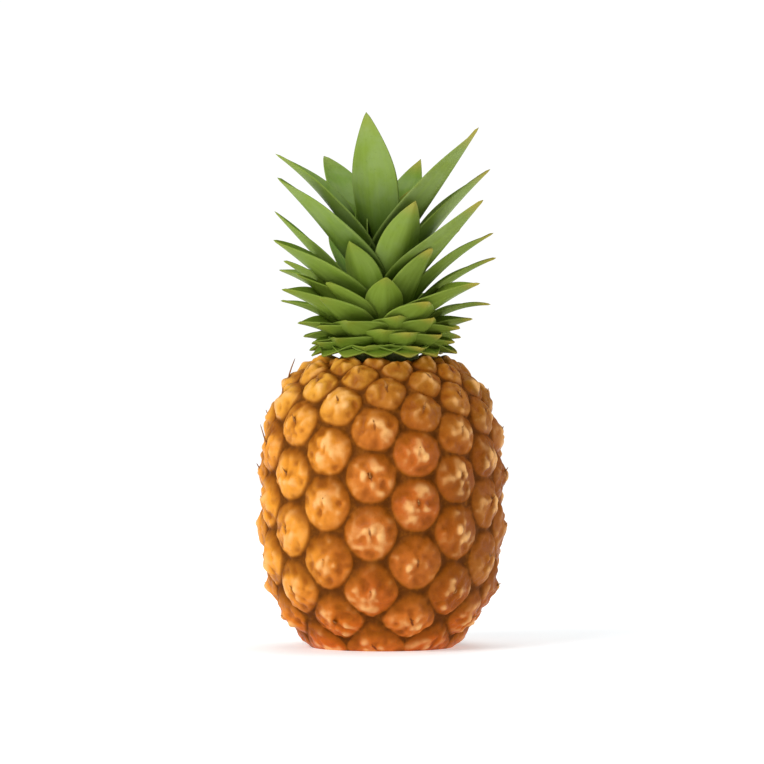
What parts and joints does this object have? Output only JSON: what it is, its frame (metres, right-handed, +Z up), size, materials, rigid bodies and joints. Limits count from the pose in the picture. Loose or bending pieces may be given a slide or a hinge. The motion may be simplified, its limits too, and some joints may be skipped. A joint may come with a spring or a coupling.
{
  "type": "pineapple",
  "caption": "Whole ripe pineapple standing on its base: a barrel-shaped fruit with domed eyes in staggered rows, under a crown of pointed arching leaves.",
  "frame": {"origin": "centre of the base, at the height of the surface that the fruit stands on", "axes": "+Z up along the fruit's axis, -Y towards the side that the picture shows, +X to that view's right"},
  "size_m": [0.1262, 0.1259, 0.2678],
  "materials": {
    "skin": "waxy peel, orange-brown with darker grooves",
    "leaf": "smooth leaf, satin green",
    "stalk": "dry cut fibres, matt"
  },
  "bodies": {
    "root": {"fruit": "skin", "crown": "leaf", "stalk_end": "stalk"}
  },
  "joints": []
}
